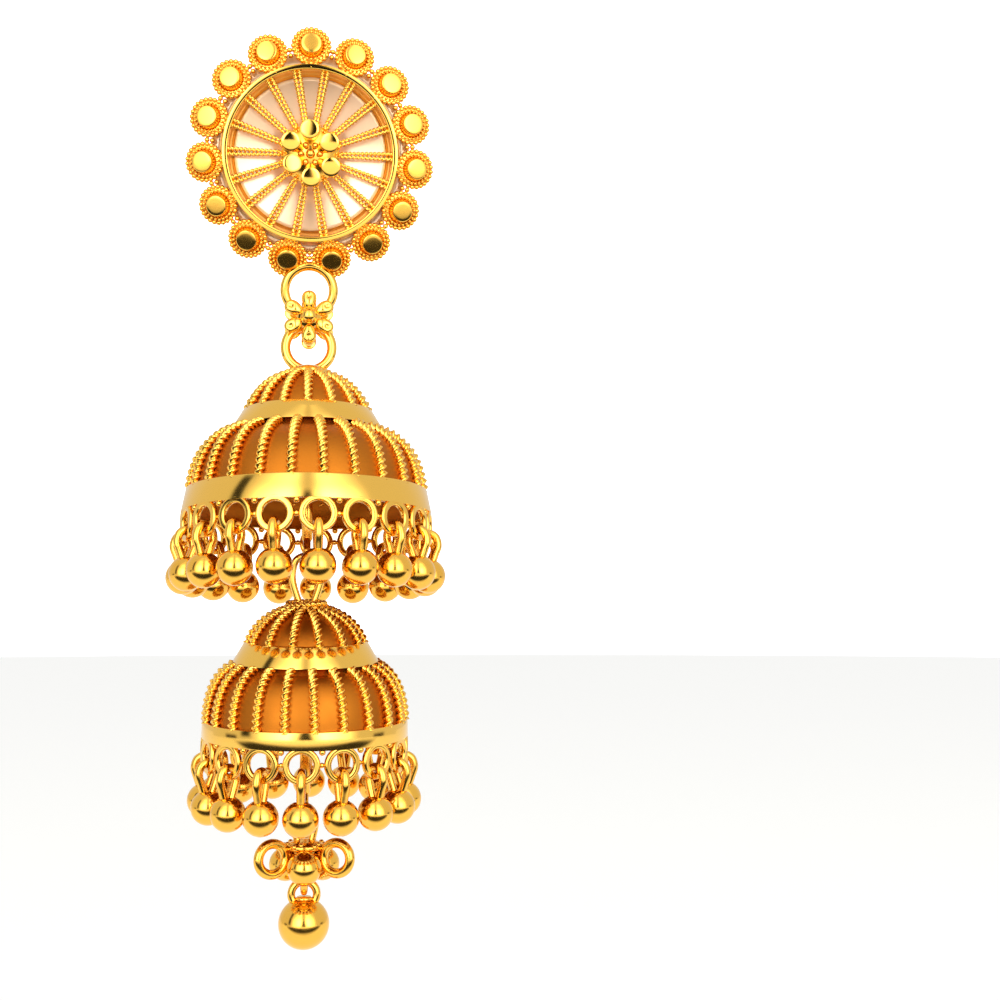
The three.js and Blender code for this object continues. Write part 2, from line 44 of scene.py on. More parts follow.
# Heights in mm on the plumb axis
heights = {
    "studPin": -12.053,
    "studRing": -10.203,
    "linkTop": -10.463,
    "linkBottom": -14.483,
    "bellRing": -14.663,
    "upperCap": -16.593,
    "upperEye": -30.513,
    "lowerPin": -30.703,
    "lowerCap": -34.443,
    "lowerEye": -49.633,
    "clusterPin": -49.823,
    "clusterHub": -52.323,
    "clusterEye": -54.973,
    "endPin": -55.163,
    "endBall": -58.283,
}
hang = {
    "studDepth": 1.3,  # mm from the stud's back to the middle of its ring
    "studTip": 13,  # degrees forward
    "pinY": 1.445,  # mm to the back, where the tipped stud holds the link
    "pinRise": 0.0165,  # mm above the same pin on an upright stud
    "upperLean": -4.2,  # degrees about X
    "lowerLean": 4.2,
}

print("stage: camera, floor and light")

cameraSettings = {
    "lens": 55.8,  # mm
    "sensorWidth": 36,  # mm
    "sight": (0.005, 20),  # m, the nearest and the farthest
    "distance": 119.0,  # mm in front of the hanging axis
    "height": -34.6,
    "yaw": 7.1,  # degrees to the right, so that the earring stands left of the middle
    "pitch": 4.0,
}


def intoScene(name, data):
    # A new object for a mesh or a camera, at the origin.
    made = bpy.data.objects.new(name, data)
    bpy.context.scene.collection.objects.link(made)
    return made


def photoCamera(settings):
    # In front of the axis by the distance, pitched up from level and turned by the yaw.
    data = bpy.data.cameras.new("photo_camera")
    data.sensor_width = settings["sensorWidth"]
    data.lens = settings["lens"]
    data.clip_start, data.clip_end = settings["sight"]
    camera = intoScene("photo_camera", data)
    y = hang["pinY"] - settings["distance"]
    camera.location = (0, y * millimetre, settings["height"] * millimetre)
    upward, sideways = math.radians(90 + settings["pitch"]), math.radians(settings["yaw"])
    camera.rotation_euler = (upward, 0, -sideways)
    bpy.context.scene.camera = camera


photoCamera(cameraSettings)

stageSettings = {
    "floorHeight": -0.082,  # m
    "floorReach": 1.6,  # m to each side
    "floorColour": (0.6, 0.6, 0.59, 1),
    "floorGlow": 0.75,
    "white": (1, 1, 1, 1),
    "worldStrength": 0.8,
    "backdropRadius": 1500,  # mm
}
# The front lamp is part of a sphere. Its angles are degrees, and a pair of them says where a
# change of strength starts and where it ends.
lampSettings = {
    "centre": (0, 0, -0.034),  # m
    "distance": 0.42,  # m
    "azimuths": (-120, 120, 241),
    "elevations": (-30, 80, 111),
    "windowStrength": 4.6,
    "windowInner": (-2, 14),  # past the dark gap's edge
    "windowOuter": (42, 62),
    "windowFoot": (-26, -13),
    "windowDims": ((0.6, 14, 38), (0.8, 46, 66)),  # share lost, over which elevations
    "windowMiddle": 20,
    "windowSpread": 17,
    "windowSides": 0.3,  # share left far from the middle
    "gapHalf": 8.5,
    "gapNarrowing": 6.0,
    "gapNarrows": (-20, 22),
    "gapInner": 0.6,  # share of the half where the dark starts to lift
    "gapEdge": 3,
    "gapTop": (18, 32),
    "gapDark": 0.98,
    "stripSides": ((-76, -71), (-64, -60)),
    "stripHeights": ((-6, 2), (38, 50)),
    "lowSides": ((78, 82), (94, 98)),
    "lowTop": (-4, 2),
    "stripDark": 0.96,
}
shadeSettings = {
    "across": (-300, 300, 61),  # mm
    "along": (-24, -140, 39),
    "lift": 0.6,  # mm above the floor
    "strength": 0.95,
    "dark": 0.96,
    "darkAlong": ((-125, -90), (-42, -26)),
    "darkAcross": (120, 260),
}


def plainMaterial(name, colour, strength=0.0):
    # A matt colour, or a glowing one where a strength is given.
    material = bpy.data.materials.new(name)
    material.use_nodes = True
    shader = material.node_tree.nodes["Principled BSDF"]
    shader.inputs["Base Color"].default_value = colour
    shader.inputs["Roughness"].default_value = 1
    shader.inputs["Specular IOR Level"].default_value = 0
    if strength:
        shader.inputs["Emission Color"].default_value = colour
        shader.inputs["Emission Strength"].default_value = strength
    return material


def lamp(name, points, faces, strengths):
    # A glowing surface that only reflections see, with a strength of its own at each corner.
    mesh = bpy.data.meshes.new(name)
    mesh.from_pydata(points.tolist(), [], faces.tolist())
    glow = mesh.attributes.new("glow", "FLOAT", "POINT")
    glow.data.foreach_set("value", strengths)
    material = plainMaterial(name, (0, 0, 0, 1))
    nodes, links = material.node_tree.nodes, material.node_tree.links
    shader = nodes["Principled BSDF"]
    shader.inputs["Emission Color"].default_value = (1, 0.99, 0.95, 1)
    reader = nodes.new("ShaderNodeAttribute")
    reader.attribute_name = "glow"
    links.new(reader.outputs["Fac"], shader.inputs["Emission Strength"])
    mesh.materials.append(material)
    made = intoScene(name, mesh)
    made.visible_camera = False
    made.visible_shadow = False
    return made


def fade(values, start, end):
    # 3t^2 - 2t^3, where t is how far a value is from start to end, kept between 0 and 1.
    t = np.clip((values - start) / (end - start), 0, 1)
    return t * t * (3 - 2 * t)


def swell(values, rise, fall):
    # A fade in over one pair of values, times a fade out over another.
    return fade(values, *rise) * (1 - fade(values, *fall))


def frontLamp(settings):
    # A point of the sphere is its centre plus the distance times the direction of both angles.
    # The strength is the world's plus the two windows', less the dark gap and the dark strips.
    azimuths, elevations = np.linspace(*settings["azimuths"]), np.linspace(*settings["elevations"])
    azimuth, elevation = np.meshgrid(azimuths, elevations)
    a, e = np.radians(azimuth), np.radians(elevation)
    out = np.stack([np.sin(a) * np.cos(e), -np.cos(a) * np.cos(e), np.sin(e)], -1)
    points = np.array(settings["centre"]) + settings["distance"] * out.reshape(-1, 3)
    side = np.abs(azimuth)
    half = settings["gapHalf"] - settings["gapNarrowing"] * fade(elevation, *settings["gapNarrows"])
    inner = [half + step for step in settings["windowInner"]]
    window = swell(side, inner, settings["windowOuter"]) * fade(elevation, *settings["windowFoot"])
    for share, start, end in settings["windowDims"]:
        window *= 1 - share * fade(elevation, start, end)
    bright = np.exp(-(((side - settings["windowMiddle"]) / settings["windowSpread"]) ** 2))
    window *= settings["windowSides"] + (1 - settings["windowSides"]) * bright
    gap = 1 - fade(side, settings["gapInner"] * half, half + settings["gapEdge"])
    gap *= 1 - fade(elevation, *settings["gapTop"])
    strip = swell(azimuth, *settings["stripSides"]) * swell(elevation, *settings["stripHeights"])
    strip += swell(side, *settings["lowSides"]) * (1 - fade(elevation, *settings["lowTop"]))
    strength = stageSettings["worldStrength"] + settings["windowStrength"] * window
    strength *= (1 - settings["gapDark"] * gap) * (1 - settings["stripDark"] * strip)
    faces = gridFaces(len(elevations), len(azimuths), wrapColumns=False)
    return lamp("front_lamp", points, faces, strength.ravel())


def floorShade(settings):
    # A soft-edged dark patch of the floor, in front of the earring, for the lower reflections.
    # Its strength is full, less a share of the fades across and along.
    across, along = np.linspace(*settings["across"]), np.linspace(*settings["along"])
    x, y = np.meshgrid(across, along)
    dark = swell(y, *settings["darkAlong"]) * (1 - fade(np.abs(x), *settings["darkAcross"]))
    z = np.full_like(x, stageSettings["floorHeight"] / millimetre + settings["lift"])
    points = np.stack([x, y, z], -1).reshape(-1, 3) * millimetre
    strength = settings["strength"] * (1 - settings["dark"] * dark)
    faces = gridFaces(len(along), len(across), wrapColumns=False)
    made = lamp("floor_shade", points, faces, strength.ravel())
    made.visible_diffuse = False
    return made


def studio(settings):
    # An even world, a square floor with a faint glow of its own, both lamps, and a white
    # sphere round everything that only the camera sees.
    world = bpy.data.worlds.new("studio_world")
    bpy.context.scene.world = world
    world.use_nodes = True
    background = world.node_tree.nodes["Background"]
    background.inputs["Color"].default_value = settings["white"]
    background.inputs["Strength"].default_value = settings["worldStrength"]
    reach, z = settings["floorReach"], settings["floorHeight"]
    corners = [(-reach, -reach, z), (reach, -reach, z), (reach, reach, z), (-reach, reach, z)]
    floorMesh = bpy.data.meshes.new("floor")
    floorMesh.from_pydata(corners, [], [(0, 1, 2, 3)])
    paper = plainMaterial("floor_paper", settings["floorColour"], settings["floorGlow"])
    floorMesh.materials.append(paper)
    floor = intoScene("floor", floorMesh)
    frontLamp(lampSettings)
    floorShade(shadeSettings)
    points, faces = ball(settings["backdropRadius"], 48)
    sky = bpy.data.meshes.new("backdrop")
    sky.from_pydata((points * millimetre).tolist(), [], faces.tolist())
    sky.materials.append(plainMaterial("backdrop_paper", settings["white"], 1.0))
    paperSky = intoScene("backdrop", sky)
    for ray in ("diffuse", "glossy", "transmission", "volume_scatter", "shadow"):
        setattr(paperSky, f"visible_{ray}", False)
    view = bpy.context.scene.view_settings
    view.view_transform = "Standard"
    view.look = "None"


print("stage: materials")

goldSettings = {
    "polished": {"colour": (0.96, 0.56, 0.1, 1), "roughness": 0.07, "bump": 0.02, "grain": 900},
    "satin": {"colour": (0.96, 0.53, 0.085, 1), "roughness": 0.15, "bump": 0.03, "grain": 1400},
    "twisted": {"colour": (0.97, 0.56, 0.1, 1), "roughness": 0.13, "bump": 0.06, "grain": 2600},
    "band": {"colour": (0.96, 0.57, 0.11, 1), "roughness": 0.11, "bump": 0.02, "grain": 900},
    # The skin's gold is darkened to orange-brown: painted shade of the hollow behind the ribs, on a
    # real gold wall.
    "skin": {"colour": (0.46, 0.145, 0.013, 1), "roughness": 0.46, "bump": 0.06, "grain": 500},
    "dish": {
        "colour": (0.84, 0.58, 0.37, 1),
        "roughness": 0.16,
        "bump": 0.02,
        "grain": 400,
        "metal": 0.45,
    },
}
surfaceSettings = {
    "detail": 2,
    "drift": 0.25,  # share that the roughness changes up and down
    "bumpDistance": 0.0001,  # m
}


def goldMaterial(name, settings):
    # Metal with a faint waviness, and a roughness that drifts a little from place to place.
    material = bpy.data.materials.new(f"gold_{name}")
    material.use_nodes = True
    nodes, links = material.node_tree.nodes, material.node_tree.links
    shader = nodes["Principled BSDF"]
    shader.inputs["Base Color"].default_value = settings["colour"]
    shader.inputs["Metallic"].default_value = settings.get("metal", 1)
    place = nodes.new("ShaderNodeTexCoord")
    noise = nodes.new("ShaderNodeTexNoise")
    noise.inputs["Scale"].default_value = settings["grain"]
    noise.inputs["Detail"].default_value = surfaceSettings["detail"]
    links.new(place.outputs["Object"], noise.inputs["Vector"])
    spread = nodes.new("ShaderNodeMapRange")
    roughness, drift = settings["roughness"], surfaceSettings["drift"]
    spread.inputs["To Min"].default_value = roughness * (1 - drift)
    spread.inputs["To Max"].default_value = roughness * (1 + drift)
    links.new(noise.outputs["Fac"], spread.inputs["Value"])
    links.new(spread.outputs["Result"], shader.inputs["Roughness"])
    bump = nodes.new("ShaderNodeBump")
    bump.inputs["Strength"].default_value = settings["bump"]
    bump.inputs["Distance"].default_value = surfaceSettings["bumpDistance"]
    links.new(noise.outputs["Fac"], bump.inputs["Height"])
    links.new(bump.outputs["Normal"], shader.inputs["Normal"])
    return material


gold = {name: goldMaterial(name, settings) for name, settings in goldSettings.items()}

# A surface is a pair: points in mm, and faces of four corners, of which two alike make a triangle.


def gridFaces(rows, columns, wrapRows=False, wrapColumns=True):
    # Four-cornered faces between neighbours of a grid that is numbered row by row.
    i = np.arange(rows if wrapRows else rows - 1)
    j = np.arange(columns if wrapColumns else columns - 1)
    i, j = [index.ravel() for index in np.meshgrid(i, j, indexing="ij")]
    down, right = (i + 1) % rows, (j + 1) % columns
    return np.stack(
        [i * columns + j, i * columns + right, down * columns + right, down * columns + j], 1
    )


def joined(surfaces):
    # All points in one list, with each surface's faces counted on from the ones before.
    points, faces, count = [], [], 0
    for part in surfaces:
        points.append(part[0])
        faces.append(part[1] + count)
        count += len(part[0])
    return np.concatenate(points), np.concatenate(faces)


def outward(surface):
    # Faces turned so that the volume inside, summed over corner triples, is positive.
    points, faces = surface
    a, b, c, d = [points[faces[:, k]] for k in range(4)]
    volume = np.sum(a * np.cross(b, c)) + np.sum(a * np.cross(c, d))
    return (points, faces) if volume > 0 else (points, faces[:, ::-1])


def moved(surface, matrix):
    # Each point times the matrix's turn, plus its shift.
    points, faces = surface
    return points @ matrix[:3, :3].T + matrix[:3, 3], faces


def shift(x=0.0, y=0.0, z=0.0):
    # A matrix that only moves, by x, y and z.
    matrix = np.eye(4)
    matrix[:3, 3] = (x, y, z)
    return matrix


def turn(axis, degrees):
    # A turn about one axis: the other two axes take the cosine and the sine of the angle.
    angle = math.radians(degrees)
    matrix = np.eye(4)
    one, two = {"x": (1, 2), "y": (2, 0), "z": (0, 1)}[axis]
    matrix[one, one] = matrix[two, two] = math.cos(angle)
    matrix[two, one] = math.sin(angle)
    matrix[one, two] = -math.sin(angle)
    return matrix


def around(surface, count, start=0.0, axis="z"):
    # Copies at equal angles: the start plus each number's share of a full turn.
    return joined([moved(surface, turn(axis, start + k * 360 / count)) for k in range(count)])


def lathe(profile, steps=96):
    # Each [radius, height] of the profile is carried round Z by cosine and sine.
    profile = np.asarray(profile, float)
    angles = np.arange(steps) * fullTurn / steps
    x = profile[:, :1] * np.cos(angles)
    y = profile[:, :1] * np.sin(angles)
    z = np.repeat(profile[:, 1:], steps, 1)
    points = np.stack([x, y, z], 2).reshape(-1, 3)
    return outward((points, gridFaces(len(profile), steps, wrapRows=profile[0, 0] > 0)))


def softened(corners, size, steps=4):
    # Each corner of a closed outline becomes a quadratic curve between two points at a distance
    # from it.
    most = 0.45  # of a side, so that two curves never meet
    corners = np.asarray(corners, float)
    before = np.roll(corners, 1, 0) - corners
    after = np.roll(corners, -1, 0) - corners
    toBefore, toAfter = [np.linalg.norm(side, axis=1, keepdims=True) for side in (before, after)]
    starts = corners + before * np.minimum(size / toBefore, most)
    ends = corners + after * np.minimum(size / toAfter, most)
    t = np.linspace(0, 1, steps)[None, :, None]
    curve = (1 - t) ** 2 * starts[:, None] + 2 * t * (1 - t) * corners[:, None]
    return (curve + t**2 * ends[:, None]).reshape(-1, 2)


def ball(radius, steps=32):
    # The profile of a sphere runs from pole to pole as sine and cosine of the polar angle.
    polar = np.linspace(0, math.pi, steps // 2 + 1)
    profile = np.stack([radius * np.sin(polar), radius * np.cos(polar)], 1)
    profile[[0, -1], 0] = 0
    return lathe(profile, steps)


def beads(centres, radii, steps=10):
    # One small sphere copied to every centre: point = centre + radius times the sphere's point.
    points, faces = ball(1.0, steps)
    centres = np.asarray(centres, float)
    radii = np.broadcast_to(np.asarray(radii, float), len(centres))
    everywhere = centres[:, None] + radii[:, None, None] * points[None]
    copies = faces[None] + (np.arange(len(centres)) * len(points))[:, None, None]
    return everywhere.reshape(-1, 3), copies.reshape(-1, 4)


def smooth(points, count, closed=False):
    # A curve through the points: a cubic between two neighbours, whose slopes come from the
    # next ones.
    points = np.asarray(points, float)
    if closed:
        padded = np.concatenate([points[-1:], points, points[:2]])
        spans = len(points)
    else:
        first, last = 2 * points[0] - points[1], 2 * points[-1] - points[-2]
        padded = np.concatenate([first[None], points, last[None]])
        spans = len(points) - 1
    place = np.linspace(0, spans, count, endpoint=not closed)
    k = np.minimum(place.astype(int), spans - 1)
    t = (place - k)[:, None]
    p0, p1, p2, p3 = [padded[k + step] for step in range(4)]
    return 0.5 * (
        2 * p1
        + (p2 - p0) * t
        + (2 * p0 - 5 * p1 + 4 * p2 - p3) * t**2
        + (3 * p1 - p0 - 3 * p2 + p3) * t**3
    )


def lengthAlong(path):
    # At each point, the sum of the steps before it.
    steps = np.linalg.norm(np.diff(path, axis=0), axis=1)
    return np.concatenate([[0], np.cumsum(steps)])


def swept(path, section, normal, closed=False):
    # A section of reach(step, angle) is carried along the path. Its first axis is the normal
    # given, made square to the path, and its second is the cross product of path and first axis.
    path = np.asarray(path, float)
    if closed:
        tangent = np.roll(path, -1, 0) - np.roll(path, 1, 0)
    else:
        tangent = np.gradient(path, axis=0)
    tangent /= np.linalg.norm(tangent, axis=1, keepdims=True)
    normal = np.broadcast_to(np.asarray(normal, float), path.shape)
    first = normal - tangent * np.sum(normal * tangent, 1, keepdims=True)
    first /= np.linalg.norm(first, axis=1, keepdims=True)
    second = np.cross(tangent, first)
    sides = section.shape[1]
    angles = np.arange(sides) * fullTurn / sides
    ring = first[:, None] * np.cos(angles)[None, :, None]
    ring = ring + second[:, None] * np.sin(angles)[None, :, None]
    points = path[:, None] + section[:, :, None] * ring
    if not closed:
        starts = np.repeat(path[:1], sides, 0)[None]
        ends = np.repeat(path[-1:], sides, 0)[None]
        points = np.concatenate([starts, points, ends])
    faces = gridFaces(len(points), sides, wrapRows=closed)
    return outward((points.reshape(-1, 3), faces))


def wire(path, radius, normal, sides=12, closed=False):
    # A round section, whose radius may change along the path.
    radii = np.broadcast_to(np.asarray(radius, float), len(path))
    return swept(path, np.repeat(radii[:, None], sides, 1), normal, closed)


def rope(path, width, normal, pitch, hand=1, sides=12, closed=False):
    # Two strands wound round each other: the reach of a figure of eight, half the width times
    # the root of a waist plus cosine squared, turning by one full turn for each pitch of length.
    waist = 0.1
    path = np.asarray(path, float)
    along = lengthAlong(np.concatenate([path, path[:1]]) if closed else path)[: len(path)]
    width = np.broadcast_to(np.asarray(width, float), len(path))
    angles = np.arange(sides) * fullTurn / sides
    twist = hand * fullTurn * along / pitch
    eight = np.sqrt(waist + (1 - waist) * np.cos(angles[None] - twist[:, None]) ** 2)
    return swept(path, 0.5 * width[:, None] * eight, normal, closed)


def boxyReach(angles, first, second, power):
    # The reach of a rounded box: cosine and sine over the half sides, each to the power,
    # added up and taken to the root.
    across = np.abs(np.cos(angles) / first) ** power
    return (across + np.abs(np.sin(angles) / second) ** power) ** (-1 / power)


def circle(radius, count, plane="xy", height=0.0):
    # The radius times cosine and sine on the plane's two axes, and the height on the third.
    angles = np.arange(count) * fullTurn / count
    first, second = radius * np.cos(angles), radius * np.sin(angles)
    third = np.full(count, height)
    columns = {
        "xy": (first, second, third),
        "xz": (first, third, second),
        "yz": (third, first, second),
    }
    return np.stack(columns[plane], 1)


def ringWire(radius, thickness, plane, sides=14, steps=64):
    # A circle swept with a round section whose first axis is square to the circle's plane.
    square = {"xy": (0, 0, 1), "xz": (0, 1, 0), "yz": (1, 0, 0)}[plane]
    return wire(circle(radius, steps, plane), thickness, square, sides, closed=True)


def merged(points, faces):
    # Corners alike to a hundred-thousandth of a mm become one. A face that loses a corner
    # comes back as a triangle, and one that loses more is left out.
    perMillimetre = 1e5
    keys = np.round(points * perMillimetre).astype(np.int64)
    _, firsts, same = np.unique(keys, axis=0, return_index=True, return_inverse=True)
    faces = same.reshape(-1)[faces]
    doubled = faces == np.roll(faces, -1, 1)
    whole = doubled.sum(1) == 0
    short, shortDoubled = faces[~whole], doubled[~whole]
    single = shortDoubled.sum(1) == 1
    short, drop = short[single], shortDoubled[single].argmax(1)
    order = (drop[:, None] + np.arange(1, 4)[None]) % 4
    return points[firsts], faces[whole], np.take_along_axis(short, order, 1)


def piece(name, surface, material, body, place, nodes=(), sharp=None):
    # A mesh at the origin, with its corners placed in the frame and doubled corners merged.
    points, quads, triangles = merged(*moved(surface, place))
    mesh = bpy.data.meshes.new(name)
    mesh.from_pydata((points * millimetre).tolist(), [], quads.tolist() + triangles.tolist())
    mesh.polygons.foreach_set("use_smooth", np.ones(len(mesh.polygons), bool))
    if sharp:
        mesh.set_sharp_from_angle(angle=math.radians(sharp))
    mesh.materials.append(material)
    mesh.update()
    made = intoScene(name, mesh)
    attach(made, body)
    if nodes:
        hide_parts(*nodes)
    return made


def leaning(height, degrees):
    # A turn about X round the point at a height on the plumb axis.
    return shift(0, 0, height) @ turn("x", degrees) @ shift(0, 0, -height)


studio(stageSettings)

studPlace = turn("x", hang["studTip"])
upperPin = shift(0, hang["pinY"], hang["pinRise"])
upperPlace = upperPin @ leaning(heights["studPin"], hang["upperLean"])
lowerPlace = upperPlace @ leaning(heights["lowerPin"], hang["lowerLean"] - hang["upperLean"])
endPlace = lowerPlace @ leaning(heights["clusterPin"], -hang["lowerLean"])
frontPlace = studPlace @ turn("x", 90)  # Z of a stud piece becomes the way to the front

print("stage: stud")

studSettings = {
    "backRadius": 5.9,
    "frontRadius": 6.6,
    "depth": 2.4,
    "wall": 0.45,
    "dishHeight": (0.3, 0.95),  # in the middle, and how much more at the edge
    "flangeRadii": (6.2, 7.35),
    "flangeHeights": (0.85, 0.99),
    "spokes": 18,
    "spokeInner": 1.9,
    "spokeOuter": 6.35,
    "spokeWidths": (0.26, 0.42),  # at the hub and at the rim
    "spokeSpread": 0.46,  # from the middle to each twisted wire, as a share of the width
    "spokeHeight": 2.06,
    "spokeBow": 0.1,
    "spokePitch": 0.62,
    "flatStudCircle": 1.73,
    "flatStudRadius": 0.71,
    "flatStudHeight": 3.13,
    "flatStudTips": [(1.5, -5), (-3, -4), (2, 2), (-5, 9), (0, 3), (4, 2)],  # degrees
    "flatStudPivot": 2,  # height that each one tips about
    "hubRadius": 2.2,
    "hubBeads": {"centre": (2.5, 0.36), "ring": (2.42, 0.24), "circle": 0.72},  # height, radius
    "rosettes": 15,
    "rosetteCircle": 7.8,
    "rosetteSeat": 1.1,
    "rosetteTilt": 17,
    "joinRadius": 0.2,
    "ringRadius": 1.85,
    "ringWire": 0.365,
}


def studDrum(settings):
    # The closed outline of the wall and its lip, turned about the stud's axis.
    back, front = settings["backRadius"], settings["frontRadius"]
    depth, wall = settings["depth"], settings["wall"]
    outline = [
        (back - wall, 0.3),
        (back - 0.1, 0.02),
        (back + 0.02, 0.25),
        (front - 0.08, depth - 0.35),
        (front, depth - 0.02),
        (front - wall + 0.02, depth),
        (front - wall - 0.04, depth - 0.35),
    ]
    return lathe(softened(outline, 0.1), 144)


def studDish(settings):
    # A shallow bowl behind the spokes, whose height grows with the square of the radius, and
    # a flat flange under the rosettes.
    reach = settings["backRadius"] - 0.2
    middle, rise = settings["dishHeight"]
    radii = np.linspace(0, reach, 24)
    front = np.stack([radii, middle + rise * (radii / reach) ** 2], 1)
    back = np.stack([radii[::-1], np.full(24, 0.02)], 1)
    inner, outer = settings["flangeRadii"]
    low, high = settings["flangeHeights"]
    edge = (outer + 0.05, (low + high) / 2)
    flange = [(inner, low), (outer, low), edge, (outer, high), (inner, high)]
    return joined([lathe(np.concatenate([front, back]), 96), lathe(flange, 96)])


def studSpoke(settings, hand):
    # A straight twisted wire from the hub to the rim, bowed a little to the front.
    t = np.linspace(0, 1, 110)
    inner, outer = settings["spokeInner"], settings["spokeOuter"]
    atHub, atRim = settings["spokeWidths"]
    width = atHub + (atRim - atHub) * t
    side = hand * settings["spokeSpread"] * width
    height = settings["spokeHeight"] + settings["spokeBow"] * np.sin(math.pi * t)
    path = np.stack([inner + (outer - inner) * t, side, height], 1)
    return rope(path, width, (0, 0, 1), settings["spokePitch"], hand, 10)


def flatStud(settings):
    # A cup with a bevelled rim and a very slightly domed face.
    radius, top = settings["flatStudRadius"], settings["flatStudHeight"]
    profile = [
        (0, top),
        (0.35 * radius, top - 0.004),
        (0.7 * radius, top - 0.015),
        (radius - 0.06, top - 0.032),
        (radius - 0.015, top - 0.055),
        (radius, top - 0.1),
        (radius * 0.96, top - 0.5),
        (radius * 1.02, top - 1.0),
        (0, top - 1.0),
    ]
    return lathe(profile, 48)


def flatStuds(settings):
    # Flat studs on a circle, each turned a little about X and Y at the pivot's height.
    studs = []
    step = 360 / len(settings["flatStudTips"])
    pivot = settings["flatStudPivot"]
    for k, (tipX, tipY) in enumerate(settings["flatStudTips"]):
        angle = step / 2 + step * k
        spot = turn("z", angle) @ shift(settings["flatStudCircle"]) @ turn("z", -angle)
        tip = shift(0, 0, pivot) @ turn("x", tipX) @ turn("y", tipY) @ shift(0, 0, -pivot)
        studs.append(moved(flatStud(settings), spot @ tip))
    return joined(studs)


def hubCentre(settings):
    # A bead in the middle, ringed by small ones that stand between the flat studs, on a plate.
    radius, hub = settings["hubRadius"], settings["hubBeads"]
    (middleHeight, middleRadius), (ringHeight, smallRadius) = hub["centre"], hub["ring"]
    small = circle(hub["circle"], len(settings["flatStudTips"]), height=ringHeight)
    points = np.concatenate([[(0, 0, middleHeight)], small])
    radii = [middleRadius] + [smallRadius] * len(small)
    under = radius - 0.05
    plate = lathe([(0, 1.75), (under, 1.75), (radius, 1.85), (under, 2.15), (0, 2.2)], 72)
    edge = circle(radius, 24, height=2.16)
    return joined([plate, beads(points, radii, 16), beads(edge, 0.17)])


def rosette():
    # A saucer, a collar that narrows to the flat face, and two rows of beads round it.
    saucer = [(0, 0.02), (0.9, 0.05), (1.42, 0.3), (1.44, 0.42), (1.3, 0.5), (0.9, 0.52), (0, 0.52)]
    collar = [(0, 0.4), (1.0, 0.42), (0.93, 0.62), (0.8, 0.9), (0.76, 1.0)]
    face = [(0.78, 1.06), (0.76, 1.11), (0.7, 1.13), (0.5, 1.142), (0.25, 1.149), (0, 1.15)]
    body = joined([lathe(saucer, 48), lathe(collar + face, 48)])
    outer = beads(circle(1.345, 24, height=0.46), 0.19, 12)
    inner = beads(circle(1.075, 22, height=0.6), 0.13, 10)
    return joined([body, outer, inner])


def rosettes(settings):
    # Tilted rosettes on a circle, with joining beads between them and inside of them: a bead
    # stands at its radius times the cosine and sine of its angle.
    tilted = moved(rosette(), turn("y", settings["rosetteTilt"]))
    seated = moved(tilted, shift(settings["rosetteCircle"], 0, settings["rosetteSeat"]))
    count = settings["rosettes"]
    ring = around(seated, count, -90 + 180 / count)
    step = fullTurn / count
    start = -math.pi / 2 + step / 2
    between = start + step * (np.arange(count) + 0.5)
    at = start + step * np.arange(count)
    rows = (
        (between, 7.75, 1.55),
        (between, 7.35, 1.5),
        (at - 0.05, 6.55, 2.1),
        (at + 0.05, 6.55, 2.1),
        (at, 6.35, 2.2),
    )
    joins = [np.stack([r * np.cos(a), r * np.sin(a), np.full(count, z)], 1) for a, r, z in rows]
    return joined([ring, beads(np.concatenate(joins), settings["joinRadius"], 12)])


spokeCount = studSettings["spokes"]
spokeWires = joined([around(studSpoke(studSettings, hand), spokeCount) for hand in (1, -1)])
flatTops = flatStuds(studSettings)
piece("stud_drum", studDrum(studSettings), gold["polished"], "stud", frontPlace, ["stud_disc"], 35)
piece("stud_dish", studDish(studSettings), gold["dish"], "stud", frontPlace)
piece("stud_spokes", spokeWires, gold["twisted"], "stud", frontPlace)
piece("stud_flats", flatTops, gold["polished"], "stud", frontPlace, (), 40)
piece("stud_hub", hubCentre(studSettings), gold["satin"], "stud", frontPlace)
piece("stud_rosettes", rosettes(studSettings), gold["satin"], "stud", frontPlace, (), 50)
studRing = moved(
    ringWire(studSettings["ringRadius"], studSettings["ringWire"], "xz"),
    shift(0, -hang["studDepth"], heights["studRing"]),
)
piece("stud_ring", studRing, gold["polished"], "stud", studPlace)

print("stage: ear post")

postSettings = {
    "radius": 0.45,
    "start": 0.3,
    "end": 10.0,
    "nutRadius": 2.3,
    "nutStart": 4.5,
    "nut": 2.2,
    "grooves": 24,
    "grooveDepth": 0.035,  # share of the radius
}


def earPost(settings):
    # A shaft with a rounded tip, and a grooved nut whose radius swings with the cosine of the
    # angle times the number of grooves.
    r, start, tip = settings["radius"], settings["start"], settings["end"]
    shaft = [(0, start), (r, start), (r, tip - 0.3), (0.6 * r, tip), (0, tip)]
    low, high = settings["nutStart"], settings["nutStart"] + settings["nut"]
    wide, bevel = settings["nutRadius"], settings["nutRadius"] - 0.4
    below = [(0.5, low), (bevel, low), (wide, low + 0.3)]
    profile = np.array(below + [(wide, high - 0.3), (bevel, high), (0.5, high)])
    sides = 96
    angles = np.arange(sides) * fullTurn / sides
    grooves = 1 + settings["grooveDepth"] * np.cos(settings["grooves"] * angles)
    radius = profile[:, :1] * np.where(profile[:, :1] > 1, grooves[None], 1)
    z = np.repeat(profile[:, 1:], sides, 1)
    points = np.stack([radius * np.cos(angles), radius * np.sin(angles), z], 2).reshape(-1, 3)
    nut = outward((points, gridFaces(len(profile), sides, wrapRows=True)))
    return joined([lathe(shaft, 24), nut])


postPlace = studPlace @ turn("x", -90)
piece("ear_post_screw", earPost(postSettings), gold["satin"], "stud", postPlace, ["ear_post"], 40)

print("stage: flower link")

